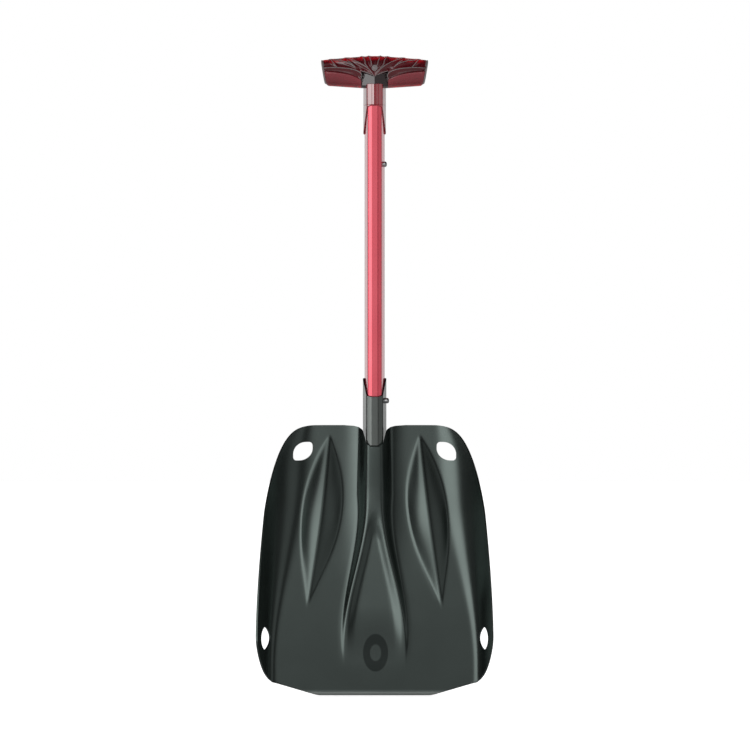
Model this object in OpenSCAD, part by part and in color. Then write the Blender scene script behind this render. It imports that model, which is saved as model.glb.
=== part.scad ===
// Telescoping avalanche shovel, shown collapsed.
// Origin: middle of the blade's cutting edge. +Z runs up the shaft to the grip, +X is to the
// right seen from the scoop side, and the scoop side faces -Y. Millimetres.

/* [Blade] */
// Height of the blade, from the cutting edge to the top edge
blade_h = 285; // [270:1:300]
// Greatest half width of the blade's scoop face
blade_half_w = 123.4; // [120:0.1:130]
// Thickness of the blade sheet
sheet_t = 2; // [1.6:0.1:2.4]
// Half width of the straight cutting edge
edge_half_w = 58.5; // [50:1:66]
// Height of the ground bevel along the cutting edge
bevel_h = 5; // [3:0.5:7]
// Height of the side walls over the pan
wall_h = 28; // [20:1:32]
// Height of each lens-shaped stiffening rib at its middle
rib_h = 11; // [6:0.5:12]
// Depth of the recess between the two fins below the socket
recess_d = 3.2; // [1:0.2:4]
// Width of a top anchor hole
top_hole_w = 22; // [16:0.5:24]
// Width of a bottom anchor hole, measured along the side wall
low_hole_w = 17.5; // [16:0.5:24]

/* [Shaft] */
// Distance of the shaft's axis behind the cutting edge
shaft_y = 48; // [46:0.5:50]
// Half width of the lower shaft's front flat
flat_half_w = 3.4; // [3.2:0.1:4]
// Half width of the lower shaft where its front chamfers end
chamfer_half_w = 7.4; // [7:0.1:7.8]
// How far the chamfers fall back from the front flat
chamfer_d = 1.7; // [1:0.1:4]
// Half width of the lower shaft at its back
back_half_w = 11; // [10:0.1:12]
// Half depth of the lower shaft
half_depth = 13; // [12:0.5:14]
// Wall of the lower shaft
lower_wall = 1.5; // [1.3:0.1:1.6]
// Wall of the upper shaft
upper_wall = 1.3; // [1.1:0.1:1.4]
// Gap between two tubes that slide in each other
slide_gap = 0.3; // [0.3:0.05:0.4]
// Wall of the blade's socket
socket_wall = 1.3; // [1.1:0.1:1.4]
// How far the shaft telescopes out between its two locks
travel = 170; // [150:1:175]

/* [Locks] */
// Radius of a snap button
button_r = 2.9; // [2.5:0.1:3]
// Height of the socket's snap button over the cutting edge
socket_lock_z = 311; // [309:1:311]
// Height of the shaft's snap button over the cutting edge
shaft_lock_z = 562.5; // [550:0.5:575]

/* [Grip] */
// Half width of the grip over its end caps
grip_half_w = 57.6; // [52:0.2:60]
// Height of the grip's top over the cutting edge
grip_top_z = 679; // [674:1:682]
// Height of the grip bar at its middle
grip_mid_h = 36; // [33:0.5:38]
// Height of the grip bar at its ends
grip_end_h = 27.5; // [25:0.5:29]
// Front to back size of the grip bar at its middle
grip_mid_d = 31; // [29:0.5:33]
// Front to back size of the grip bar at its ends
grip_end_d = 26; // [25:0.5:28]

/* [Hidden] */
$fn = 48;

// ---- small helpers ----
function clamp01(t) = min(1, max(0, t));
function smooth(t) = let (c = clamp01(t)) c * c * (3 - 2 * c);
function unit(v) = v / norm(v);
// outward normal of the edge from a to b, on an outline that runs anticlockwise
function outward(a, b) = let (d = unit(b - a)) [d.y, -d.x];
// an outline grown outwards by a distance, or shrunk when it is negative
function grown(points, by) = let (n = len(points)) [
    for (i = [0 : n - 1])
        let (here = points[i],
             m = outward(points[(i + n - 1) % n], here),
             k = outward(here, points[(i + 1) % n]))
        here + by * (m + k) / (1 + m * k)];
// an outline with each corner turned into an arc of the given radius
function rounded(points, r, steps = 3) = let (n = len(points)) [
    for (i = [0 : n - 1])
        let (here = points[i],
             back = unit(points[(i + n - 1) % n] - here),
             on = unit(points[(i + 1) % n] - here),
             half = acos(back * on) / 2,
             middle = here + unit(back + on) * r / sin(half),
             from = here + back * r / tan(half) - middle,
             to = here + on * r / tan(half) - middle,
             sweep = 180 - 2 * half)
        for (k = [0 : steps])
            middle + (sin(sweep * (1 - k / steps)) * from + sin(sweep * k / steps) * to) / sin(sweep)];
// a box with two diagonal corners of a small radius and two wide ones, as a rounded leaf;
// wide is the share of the box that a wide corner takes up
function leaf(w, h, tight, wide) = [
    for (c = [[-1, -1, tight, tight, 180], [1, -1, wide * w, wide * h, 270],
              [1, 1, tight, tight, 0], [-1, 1, wide * w, wide * h, 90]])
        for (a = [0 : 15 : 90])
            [c.x * (w / 2 - c[2]) + c[2] * cos(c[4] + a), c.y * (h / 2 - c[3]) + c[3] * sin(c[4] + a)]];
// an oval with blunt points at its top and bottom, leaning a little
function lens(w, h) = [
    for (a = [0 : 12 : 348])
        [w / 2 * cos(a) * pow(abs(cos(a)), 0.35) + 0.14 * h / 2 * sin(a), h / 2 * sin(a)]];

// ---- blade: outline, relief and sheet ----
corner_z = 14;         // where the slant from the cutting edge meets the rounded bottom corner
corner_half_w = 107.5;
widest_z = 62;
shoulder_z = 190;      // where the side edge starts to turn into the top corner
split_z = 211;         // where the channel over the socket splits into two fins
fin_end_z = 35;
rib_top_z = 275;
rib_low_z = 90;
notch_z = 263.5;         // bottom of the notch that the socket comes out of
channel_y = shaft_y - half_depth - slide_gap - socket_wall - 0.7 - sheet_t;

// half width of the outline at a height
function edge_x(z) =
    z < corner_z ? edge_half_w + (corner_half_w - edge_half_w) * z / corner_z
    : z < widest_z ? let (d = (widest_z - z) / (widest_z - corner_z))
        blade_half_w - 11 * pow(d, 1.7) - 4.9 * pow(d, 8)
    : let (t = max(0, z - shoulder_z) / (blade_h - shoulder_z))
        blade_half_w - 7.7 * pow((min(z, shoulder_z) - widest_z) / (shoulder_z - widest_z), 1.65)
        - 61 * (1 - pow(1 - pow(t, 1.15), 0.28));

// depth of the plain pan: it leans forward from the shaft and is slightly hollow lengthwise
function pan_y(z) = z * (0.27 - 0.00029 * z);

// the channel over the socket and, below it, the crest of the two fins it splits into
function crest_h(z) = z > split_z ? pan_y(z) - channel_y
    : (pan_y(split_z) - channel_y) * pow(max(0, z - fin_end_z) / (split_z - fin_end_z), 1.2);
function crest_x(z) = 7.5 + 24.5 * pow(sin(90 * clamp01((200 - z) / 152)), 1.8);
function foot_x(z) = z > split_z ? 19 + (blade_h - z) * 0.03 - 2 * smooth((z - split_z) / 30)
    : crest_x(z) + 3 + 10.7 * pow(max(0, z - 39) / 172, 0.9);
function recess(z) = recess_d * smooth((197 - z) / 35) * smooth((z - fin_end_z) / 60);
function swell_h(z) = 5 * smooth((z - 105) / 105);
function valley_x(z) = 36 + 0.07 * max(0, 205 - z);

// lens-shaped ribs, one each side
function rib_t(z) = clamp01((rib_top_z - z) / (rib_top_z - rib_low_z));
function rib_x(z) = 47.8 + 24 * rib_t(z) - 1.8 * sin(180 * rib_t(z));
function rib_in(z) = 21.5 * sin(180 * pow(rib_t(z), 0.85));
function rib_out(z) = 21 * sin(180 * pow(rib_t(z), 0.78));
// the ribs fade out softly towards both ends
function rib_soft(z) = 1 - pow(sin(180 * rib_t(z)), 1.6);
function rib_bump(x, z) =
    let (side = x < rib_x(z) ? rib_in(z) : rib_out(z),
         u = side > 0.5 ? min(1, abs(x - rib_x(z)) / side) : 1)
    rib_h * pow(sin(180 * pow(rib_t(z), 0.81)), 1.5)
        * ((1 - rib_soft(z)) * (1 - u) * (1 + 0.55 * u) + rib_soft(z) * (0.5 + 0.5 * cos(180 * u)));

// side walls that curl forward
function wall_start(z) = 104 - 42 * smooth((z - 30) / 230);
function wall_end(z) = z < widest_z ? blade_half_w
    : z < shoulder_z ? edge_x(z)
    : edge_x(shoulder_z) - 0.099 * (z - shoulder_z) - 0.00175 * pow(z - shoulder_z, 2);
function wall_bump(x, z) =
    let (u = max(0, x - wall_start(z)) / (wall_end(z) - wall_start(z)))
    wall_h * pow(u, 2.3) * (1 - 0.5 * smooth((z - shoulder_z) / (blade_h - shoulder_z)));

// forward height of the channel, fins and the swell beside them
function centre_bump(x, z) =
    let (c = crest_x(z), f = foot_x(z), h = crest_h(z), s = min(h, swell_h(z)))
    x <= c ? h - recess(z) * smooth((c - x) / min(c, 9))
    : (h - s) * (x < f ? 0.5 + 0.5 * cos(180 * (x - c) / (f - c)) : 0)
        + s * pow(1 - min(1, (x - c) / (valley_x(z) - c)), 2);

// depth of the scoop face, and of the same face with the ground bevel along the cutting edge
function face_y(x, z) =
    pan_y(z) - centre_bump(abs(x), z) - rib_bump(abs(x), z) - wall_bump(abs(x), z);
function ground_y(x, z) = face_y(x, z) + 1.2 * max(0, 1 - z / bevel_h);
// unit normal of the scoop face, towards the back
function back_normal(x, z) =
    let (e = 0.3)
    unit([face_y(x - e, z) - face_y(x + e, z), 2 * e, face_y(x, z - e) - face_y(x, z + e)]);

// Columns of the sheet follow the relief: centre, crest, foot, rib edges and crest, side edge.
function lines_at(z) =
    let (k = z < widest_z ? edge_x(z) / blade_half_w : 1)
    [0, k * crest_x(z), k * foot_x(z), k * (rib_x(z) - max(4, rib_in(z))), k * rib_x(z),
     k * (rib_x(z) + max(4, rib_out(z))), edge_x(z)];
line_steps = [3, 4, 2, 3, 3, 6];
half_columns = [for (i = [0 : 5]) for (k = [0 : line_steps[i] - 1]) [i, k / line_steps[i]], [5, 1]];
function column_x(c, z) = let (l = lines_at(z)) l[c.x] + (l[c.x + 1] - l[c.x]) * c.y;
columns = [for (i = [len(half_columns) - 1 : -1 : 1]) [-1, half_columns[i]],
           for (c = half_columns) [1, c]];
rows = [0, bevel_h, 10, corner_z, 20, 27, 36, 48, for (z = [62 : 11 : 249]) z,
        256, 264, 271, 276, 280, 283, 284.5, blade_h];

module sheet() {
    nx = len(columns);
    nz = len(rows);
    scoop = [for (z = rows) for (c = columns) let (x = c[0] * column_x(c[1], z)) [x, ground_y(x, z), z]];
    back = [for (z = rows) for (c = columns)
        let (x = c[0] * column_x(c[1], z), n = back_normal(x, z))
        [x, face_y(x, z), z] + sheet_t * [n.x, n.y, z == 0 ? 0 : n.z]];
    m = nx * nz;
    faces = [
        for (j = [0 : nz - 2]) for (i = [0 : nx - 2])
            let (a = j * nx + i, b = a + 1, c = a + nx, d = c + 1)
            each [[a, d, b], [a, c, d], [m + a, m + b, m + d], [m + a, m + d, m + c]],
        for (i = [0 : nx - 2])
            let (a = i, b = i + 1, c = (nz - 1) * nx + i, d = c + 1)
            each [[a, b, m + b], [a, m + b, m + a], [c, m + d, d], [c, m + c, m + d]],
        for (j = [0 : nz - 2])
            let (a = j * nx, c = a + nx, b = a + nx - 1, d = b + nx)
            each [[a, m + c, c], [a, m + a, m + c], [b, d, m + d], [b, m + d, m + b]]];
    polyhedron(points = concat(scoop, back), faces = faces, convexity = 10);
}

// the notch that the socket comes out of, with soft shoulders at the blade's top edge
notch_side = [[34, blade_h + 3], [32, blade_h - 0.1], [22, blade_h - 0.8], [16.8, blade_h - 2.1],
              [13.2, blade_h - 4.6], [12.1, blade_h - 6.5],
              for (a = [0 : 15 : 75]) [4.7, notch_z + 4.7] + 4.7 * [cos(a), -sin(a)], [4.7, notch_z]];
module notch_cut() {
    mirrored = [for (i = [len(notch_side) - 1 : -1 : 0]) [-notch_side[i].x, notch_side[i].y]];
    translate([0, 80, 0])
        rotate([90, 0, 0])
            linear_extrude(height = 80)
                polygon(concat(notch_side, mirrored));
}

// a hole punched square to the sheet; side is -1 or 1, and the outline is the left one's
module hole_cut(side, x, z, outline) {
    n = back_normal(side * x, z);
    translate([side * x, face_y(x, z), z])
        rotate([0, 0, atan2(-n.x, n.y)])
            rotate([90, 0, 0])
                linear_extrude(height = 12, center = true)
                    scale([-side, 1])
                        polygon(outline);
}

module blade() {
    color([0.25, 0.29, 0.28])
        resize([0, 0, 0])
            difference() {
                sheet();
                notch_cut();
                for (side = [-1, 1]) {
                    hole_cut(side, 76.4, 257.2, leaf(top_hole_w, 19.6, 3.5, 0.68));
                    hole_cut(side, 115.6, 60, lens(low_hole_w, 24.4));
                }
                for (spot = rivet_spots)
                    at_rivet(spot)
                        translate([0, 0, -2])
                            cylinder(r = rivet_r + 0.1, h = 6, $fn = 20);
            }
}

// ---- tubes ----
// outline of the lower shaft: a trapezoid with a chamfered narrow front, anticlockwise from above
tube = [[-flat_half_w, -half_depth], [flat_half_w, -half_depth],
        [chamfer_half_w, chamfer_d - half_depth], [back_half_w, half_depth],
        [-back_half_w, half_depth], [-chamfer_half_w, chamfer_d - half_depth]];
module bar(by, r, z0, z1) {
    translate([0, shaft_y, z0])
        linear_extrude(height = z1 - z0)
            polygon(rounded(grown(tube, by), r));
}
module pipe(outer, inner, r, z0, z1) {
    translate([0, shaft_y, z0])
        linear_extrude(height = z1 - z0)
            difference() {
                polygon(rounded(grown(tube, outer), r));
                polygon(rounded(grown(tube, inner), max(0.4, r - outer + inner)));
            }
}
// the tubes' side faces lean in towards the front by this angle
side_slope = (back_half_w - chamfer_half_w) / (2 * half_depth - chamfer_d);
side_lean = atan(side_slope);
// distance from the shaft's axis to the side face of a tube grown by a distance
function side_d(by) = (back_half_w - side_slope * half_depth) * cos(side_lean) + by;
// a frame on the shaft's axis at a height, with +X square to the right side face
module at_lock(z) {
    translate([0, shaft_y, z])
        rotate([0, 0, -side_lean])
            children();
}

socket_in = slide_gap;
socket_out = socket_in + socket_wall;
lower_in = -lower_wall;
bush_in = lower_in - 0.8;
upper_out = bush_in - slide_gap;
upper_in = upper_out - upper_wall;
socket_bottom = 214;
socket_top = 335;
socket_notch = 314.8;
lower_bottom = 246;
collar_z = 625.5;      // underside of the grip's neck, where it meets the lower shaft
lower_top = collar_z - 1;
upper_top = 655;
extended_lock_z = shaft_lock_z - travel;
upper_bottom = extended_lock_z - 17;
hole_r = button_r + 0.1;

module side_hole(z) {
    at_lock(z)
        rotate([0, 90, 0])
            cylinder(r = hole_r, h = 20);
}

// Everything above a slanted plane that starts at the front of a tube grown by a distance.
// rise is how much higher the plane is at the back; upwards false gives what is below it.
module slant(by, z, rise, upwards = true) {
    front = half_depth + by;
    translate([0, shaft_y - front, z])
        rotate([atan(rise / (2 * front)), 0, 0])
            translate([-40, -60, upwards ? 0 : -120])
                cube([80, 180, 120]);
}

// rivets through the channel's side walls and the socket, square to the sheet
rivet_r = 1.9;
rivet_x = 12;
rivet_spots = [for (side = [-1, 1]) for (z = [228, 238]) [side, z]];
module at_rivet(spot) {
    n = back_normal(spot[0] * rivet_x, spot[1]);
    translate([spot[0] * rivet_x, face_y(rivet_x, spot[1]), spot[1]])
        rotate([0, 0, atan2(n.y, n.x)])
            rotate([0, 90, 0])
                children();
}

module blade_socket() {
    color([0.42, 0.44, 0.43])
        difference() {
            pipe(socket_out, socket_in, 2, socket_bottom, socket_top);
            slant(socket_out, socket_notch, socket_top - socket_notch + 0.5);
            side_hole(socket_lock_z);
            for (spot = rivet_spots)
                at_rivet(spot)
                    translate([0, 0, -3])
                        cylinder(r = rivet_r + 0.1, h = 12);
        }
}

module socket_rivets() {
    color([0.3, 0.32, 0.31])
        for (spot = rivet_spots)
            at_rivet(spot) {
                translate([0, 0, -0.1])
                    cylinder(r = rivet_r, h = 8.8);
                translate([0, 0, 8.5])
                    cylinder(r = 2.2, h = 1);
            }
}

module socket_plug() {
    color([0.12, 0.12, 0.12]) {
        bar(socket_in - 0.05, 1.5, socket_bottom, socket_bottom + 9);
        bar(socket_out, 2, socket_bottom - 1.5, socket_bottom);
    }
}

module lower_shaft() {
    color([0.82, 0.3, 0.37])
        difference() {
            pipe(0, lower_in, 1.6, lower_bottom, lower_top);
            side_hole(socket_lock_z);
            side_hole(shaft_lock_z);
        }
}

module lower_shaft_plug() {
    color([0.12, 0.12, 0.12]) {
        bar(lower_in - 0.05, 0.8, lower_bottom, lower_bottom + 12);
        bar(0, 1.6, lower_bottom - 1.5, lower_bottom);
    }
}

module shaft_bush() {
    color([0.1, 0.1, 0.1])
        pipe(lower_in - 0.02, bush_in, 0.8, lower_top - 26, lower_top);
}

// hole for the rivet at the back of the neck
neck_rivet_z = 635;
neck_rivet_r = 2;
module neck_rivet_hole() {
    translate([0, shaft_y, neck_rivet_z])
        rotate([-90, 0, 0])
            cylinder(r = neck_rivet_r + 0.05, h = 20);
}

// Snap button: a flange inside the inner tube, a shank and a domed tip.
// root is the flange's inner face, tip is the furthest point.
flange_t = 0.8;
module button(z, root, tip) {
    dome = 1.8;
    dome_r = 3.2;
    color([0.75, 0.75, 0.76])
        at_lock(z)
            translate([root, 0, 0])
                rotate([0, 90, 0]) {
                    cylinder(r = button_r + 0.8, h = flange_t);
                    cylinder(r = button_r, h = tip - root - dome);
                    translate([0, 0, tip - root - dome])
                        rotate_extrude()
                            intersection() {
                                translate([0, dome - dome_r])
                                    circle(r = dome_r);
                                square([button_r, dome]);
                            }
                }
}

// V-shaped leaf spring: one arm behind the button, the other on the far wall, joined at a fold
leaf_t = 0.4;
leaf_w = 3.6;
module leaf_spring(z, near, far, fold) {
    pad = fold > 0 ? -4 : 4;
    color([0.6, 0.62, 0.64])
        at_lock(z)
            translate([0, leaf_w / 2, 0])
                rotate([90, 0, 0])
                    linear_extrude(height = leaf_w)
                        polygon([[near - leaf_t, pad], [near, pad], [near, 0], [(near + far) / 2 + 1, fold],
                                 [(near + far) / 2 - 1, fold], [far, 0], [far, pad],
                                 [far + leaf_t, pad], [far + leaf_t, 0],
                                 [(near + far) / 2, fold - leaf_t * 3 * sign(fold)],
                                 [near - leaf_t, 0]]);
}

// each flange lies just inside its tube's wall; pressed in, the tip clears the outer tube
socket_root = side_d(lower_in) - flange_t - 0.1;
socket_tip = 15.6;
upper_root = side_d(upper_in) - flange_t - 0.1;
upper_tip = 13.2;
upper_press = 6.9;

module socket_lock_button() {
    button(socket_lock_z, socket_root, socket_tip);
}
module socket_lock_spring() {
    leaf_spring(socket_lock_z, socket_root - 0.1, -side_d(lower_in) + 0.7, -40);
}

module upper_shaft() {
    color([0.55, 0.57, 0.56])
        difference() {
            pipe(upper_out, upper_in, 0.6, upper_bottom, upper_top);
            side_hole(shaft_lock_z);
            side_hole(extended_lock_z);
            neck_rivet_hole();
        }
}

module upper_shaft_glide() {
    color([0.1, 0.1, 0.1]) {
        bar(upper_in - 0.05, 0.4, upper_bottom, upper_bottom + 8);
        bar(lower_in - slide_gap, 0.8, upper_bottom - 4, upper_bottom);
    }
}

module collapsed_lock_button() {
    button(shaft_lock_z, upper_root, upper_tip);
}
module collapsed_lock_spring() {
    leaf_spring(shaft_lock_z, upper_root - 0.1, -side_d(upper_in) + 0.5, -40);
}
module extended_lock_button() {
    button(extended_lock_z, upper_root - upper_press, upper_tip - upper_press);
}
module extended_lock_spring() {
    leaf_spring(extended_lock_z, upper_root - upper_press - 0.1, -side_d(upper_in) + 0.75, 40);
}

// ---- grip ----
grip_z = grip_top_z - grip_mid_h / 2;
// one rounded slice of the grip bar, at a distance along it; lean tilts the slice
module slice(x, h, d, z, lean) {
    r = min(h, d) * 0.42;
    translate([x, shaft_y, z])
        rotate([0, lean, 0])
            rotate([90, 0, 90])
                linear_extrude(height = 0.5, center = true)
                    polygon(rounded([[-d / 2, -h / 2], [d / 2, -h / 2], [d / 2, h / 2], [-d / 2, h / 2]], r, 6));
}
end_z = grip_z - 1.8;
shell_end = grip_half_w - 4.3;
lean = 8.5;
module grip_bar() {
    hull() {
        slice(-shell_end, grip_end_h, grip_end_d, end_z, -lean);
        slice(-16, grip_mid_h - 0.8, grip_mid_d, grip_z, -lean / 2);
        slice(16, grip_mid_h - 0.8, grip_mid_d, grip_z, lean / 2);
        slice(shell_end, grip_end_h, grip_end_d, end_z, lean);
    }
}
module core_bar(more) {
    hull() {
        slice(4 - shell_end, 16 + more, 16 + more, end_z, 0);
        slice(shell_end - 4, 16 + more, 16 + more, end_z, 0);
    }
}
collar_out = 1.2;
arms_z = 594.7;
neck_top = grip_z - 4;

// neck, slanted collar that overlaps the lower shaft, and the inner bar, in one moulding
module grip_core() {
    color([0.45, 0.12, 0.2])
        difference() {
            union() {
                bar(collar_out, 2, collar_z, neck_top);
                difference() {
                    pipe(collar_out, slide_gap, 2, arms_z, collar_z);
                    slant(collar_out, collar_z, arms_z - collar_z - 0.5, false);
                }
                core_bar(0);
            }
            bar(upper_out, 0.6, collar_z - 1, upper_top);
            neck_rivet_hole();
        }
}

module shell_half(side) {
    difference() {
        intersection() {
            grip_bar();
            translate([-80, side < 0 ? shaft_y - 40.05 : shaft_y + 0.05, grip_z - 40])
                cube([160, 40, 80]);
        }
        core_bar(0.1);
        bar(collar_out + 0.1, 2, collar_z - 1, neck_top + 0.1);
    }
}
module grip_front_shell() {
    color([0.5, 0.06, 0.14])
        shell_half(-1);
}
module grip_rear_shell() {
    color([0.42, 0.05, 0.12])
        shell_half(1);
}

module cap(side) {
    color([0.55, 0.5, 0.5])
        hull() {
            slice(side * (shell_end + 0.6), grip_end_h, grip_end_d, end_z, side * lean);
            slice(side * (shell_end + 2.1), grip_end_h - 1.6, grip_end_d - 1.6, end_z, side * lean);
        }
}
module grip_left_cap() {
    cap(-1);
}
module grip_right_cap() {
    cap(1);
}

badge_y = shaft_y - grip_mid_d / 2;
module grip_badge() {
    color([0.5, 0.42, 0.44])
        translate([0, badge_y - 0.05, grip_z])
            rotate([90, 0, 0])
                cylinder(r = 4.4, h = 1.1);
}

// one blind rivet at the back of the neck holds the grip on the upper shaft
module grip_rivet() {
    inner_face = half_depth + upper_in;
    outer_face = half_depth + collar_out;
    color([0.7, 0.7, 0.7])
        translate([0, shaft_y, neck_rivet_z])
            rotate([-90, 0, 0]) {
                translate([0, 0, inner_face - 1])
                    cylinder(r = neck_rivet_r + 0.6, h = 1);
                translate([0, 0, inner_face - 0.5])
                    cylinder(r = neck_rivet_r, h = outer_face - inner_face + 1);
                translate([0, 0, outer_face])
                    cylinder(r1 = 3.6, r2 = 2.4, h = 1);
            }
}

blade();
blade_socket();
socket_rivets();
socket_plug();
lower_shaft();
lower_shaft_plug();
shaft_bush();
socket_lock_button();
socket_lock_spring();
upper_shaft();
upper_shaft_glide();
collapsed_lock_button();
collapsed_lock_spring();
extended_lock_button();
extended_lock_spring();
grip_core();
grip_front_shell();
grip_rear_shell();
grip_left_cap();
grip_right_cap();
grip_badge();
grip_rivet();
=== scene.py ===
"""Looks for a telescoping avalanche shovel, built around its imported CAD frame.

Sizes are in millimetres until a mesh is made, when they become metres.
"""
import math
from functools import partial

import bpy
import numpy as np
from mathutils import Matrix, Vector


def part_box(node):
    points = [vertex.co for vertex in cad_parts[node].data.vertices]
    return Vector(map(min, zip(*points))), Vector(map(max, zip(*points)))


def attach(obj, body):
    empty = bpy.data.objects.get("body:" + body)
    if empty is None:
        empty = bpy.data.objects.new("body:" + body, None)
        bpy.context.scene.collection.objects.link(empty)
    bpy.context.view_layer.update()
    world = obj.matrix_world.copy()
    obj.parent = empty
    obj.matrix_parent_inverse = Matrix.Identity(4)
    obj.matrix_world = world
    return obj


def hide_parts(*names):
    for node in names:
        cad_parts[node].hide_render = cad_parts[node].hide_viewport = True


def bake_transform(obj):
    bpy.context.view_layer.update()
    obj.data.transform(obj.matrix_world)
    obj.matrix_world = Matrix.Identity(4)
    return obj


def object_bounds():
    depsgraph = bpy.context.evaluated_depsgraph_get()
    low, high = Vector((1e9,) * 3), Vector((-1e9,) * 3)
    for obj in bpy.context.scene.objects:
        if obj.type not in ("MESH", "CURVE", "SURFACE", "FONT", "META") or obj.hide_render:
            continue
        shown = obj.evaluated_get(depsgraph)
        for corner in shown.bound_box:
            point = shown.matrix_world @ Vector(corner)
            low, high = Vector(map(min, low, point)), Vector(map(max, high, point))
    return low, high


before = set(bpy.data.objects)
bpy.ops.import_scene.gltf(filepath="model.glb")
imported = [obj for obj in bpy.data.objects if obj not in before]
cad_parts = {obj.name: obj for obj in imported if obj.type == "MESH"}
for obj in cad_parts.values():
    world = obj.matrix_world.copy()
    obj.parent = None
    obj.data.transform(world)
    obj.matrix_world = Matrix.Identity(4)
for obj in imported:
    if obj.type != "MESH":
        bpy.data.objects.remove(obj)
cad_low, cad_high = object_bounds()
MM = 0.001


def box_mm(node):
    """Lowest and highest corner of a CAD node, in millimetres."""
    low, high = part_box(node)
    return np.array(low) / MM, np.array(high) / MM


# ---- places and sizes taken from the frame ----
blade_high = box_mm("blade")[1]
lower_low, lower_high = box_mm("lower_shaft")
socket_low, socket_high = box_mm("blade_socket")
upper_low, upper_high = box_mm("upper_shaft")
ARMS_Z = box_mm("grip_core")[0][2]
GRIP_HALF_W = box_mm("grip_right_cap")[1][0]
GRIP_TOP = cad_high[2] / MM
BLADE_H = blade_high[2]
RIM_OUT = 1.8                           # how far the sheet's back stands out past its scoop face
BLADE_HALF_W = blade_high[0] - RIM_OUT  # half width of the scoop face
SHAFT_Y = (lower_low[1] + lower_high[1]) / 2
HALF_DEPTH = (lower_high[1] - lower_low[1]) / 2

# ---- sizes that the frame's boxes don't give ----
SHEET_T = 2.0
SLIDE_GAP = 0.3                         # between the lower shaft and the socket round it
SOCKET_WALL = 1.3
# every tube has the lower shaft's outline, offset by its own distance
SOCKET_OUT = SLIDE_GAP + SOCKET_WALL
LOWER_WALL = 1.5
UPPER_OUT, UPPER_WALL = -2.6, 1.3
UPPER_IN = UPPER_OUT - UPPER_WALL
COLLAR_OUT = 1.2
SOCKET_NOTCH_Z = 314.8                  # front end of the socket's slanted top
COLLAR_Z = 625.5                        # front end of the grip's slanted collar
GRIP_H = 36.0
TOP_DROP, LOW_RISE = 4.3, 3.2           # how far the grip bar's edges close in at EDGE_SPAN from the middle
EDGE_SPAN = 55.0
TOP_CURVE, LOW_CURVE = 1.3, 1.1         # how late they start to

# ---- materials ----


def new_material(name):
    material = bpy.data.materials.new(name)
    material.use_nodes = True
    nodes, links = material.node_tree.nodes, material.node_tree.links
    return material, nodes, links, nodes["Principled BSDF"]


def set_or_link(links, value, socket):
    """Gives a socket another node's output, a colour or a number."""
    if isinstance(value, bpy.types.NodeSocket):
        links.new(value, socket)
    elif isinstance(value, tuple):
        socket.default_value = (*value, 1)
    else:
        socket.default_value = value


def shader_math(nodes, links, kind, *inputs, clamp=False):
    node = nodes.new("ShaderNodeMath")
    node.operation = kind
    node.use_clamp = clamp
    for i, value in enumerate(inputs):
        set_or_link(links, value, node.inputs[i])
    return node.outputs[0]


def mix_colours(nodes, links, share, one, other, kind="MIX"):
    node = nodes.new("ShaderNodeMixRGB")
    node.blend_type = kind
    for name, value in (("Fac", share), ("Color1", one), ("Color2", other)):
        set_or_link(links, value, node.inputs[name])
    return node.outputs["Color"]


def object_noise(nodes, links, scale, detail=3.0, stretch=(1, 1, 1)):
    """Noise in the object's own coordinates, in metres, stretched along an axis."""
    coords = nodes.new("ShaderNodeTexCoord")
    mapping = nodes.new("ShaderNodeMapping")
    mapping.inputs["Scale"].default_value = stretch
    noise = nodes.new("ShaderNodeTexNoise")
    noise.inputs["Scale"].default_value = scale
    noise.inputs["Detail"].default_value = detail
    links.new(coords.outputs["Object"], mapping.inputs["Vector"])
    links.new(mapping.outputs["Vector"], noise.inputs["Vector"])
    return noise.outputs["Fac"]


def ramp(nodes, links, value, low, high):
    """Maps 0.3-0.7 of a noise onto two colours or two greys."""
    node = nodes.new("ShaderNodeValToRGB")
    node.color_ramp.elements[0].position = 0.3
    node.color_ramp.elements[1].position = 0.7
    node.color_ramp.elements[0].color = (*low, 1)
    node.color_ramp.elements[1].color = (*high, 1)
    links.new(value, node.inputs["Fac"])
    return node.outputs["Color"]


def add_bump(nodes, links, shader, height, distance, strength):
    bump = nodes.new("ShaderNodeBump")
    bump.inputs["Distance"].default_value = distance
    bump.inputs["Strength"].default_value = strength
    links.new(height, bump.inputs["Height"])
    links.new(bump.outputs["Normal"], shader.inputs["Normal"])


DRAWN = (1, 1, 0.05)           # grain drawn out along a tube
NO_COAT = (0.0, 0.03, 1.5)     # weight, roughness and index of the clear coat


def set_coat(shader, weight, rough, ior):
    shader.inputs["Coat Weight"].default_value = weight
    shader.inputs["Coat Roughness"].default_value = rough
    shader.inputs["Coat IOR"].default_value = ior


def anodised(name, dark, light, rough, metallic=1.0, grain=(1, 1, 1), coat=NO_COAT):
    """Satin anodised alloy: slow colour variation, fine grain in its roughness and bump."""
    material, nodes, links, shader = new_material(name)
    shader.inputs["Metallic"].default_value = metallic
    links.new(ramp(nodes, links, object_noise(nodes, links, 22), dark, light), shader.inputs["Base Color"])
    fine = object_noise(nodes, links, 900, 4, grain)
    roughness = ramp(nodes, links, fine, (rough - 0.015,) * 3, (rough + 0.015,) * 3)
    links.new(roughness, shader.inputs["Roughness"])
    add_bump(nodes, links, shader, fine, 0.00002, 0.05)
    set_coat(shader, *coat)
    return material


def moulded(name, dark, light, rough, coat=(0.0, 0.05, 2.1)):
    """Moulded plastic: slow colour variation and a fine orange-peel skin."""
    material, nodes, links, shader = new_material(name)
    links.new(ramp(nodes, links, object_noise(nodes, links, 60), dark, light), shader.inputs["Base Color"])
    skin = object_noise(nodes, links, 1400, 2)
    roughness = ramp(nodes, links, skin, (rough - 0.03,) * 3, (rough + 0.06,) * 3)
    links.new(roughness, shader.inputs["Roughness"])
    add_bump(nodes, links, shader, skin, 0.00003, 0.35)
    set_coat(shader, *coat)
    return material


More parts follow.
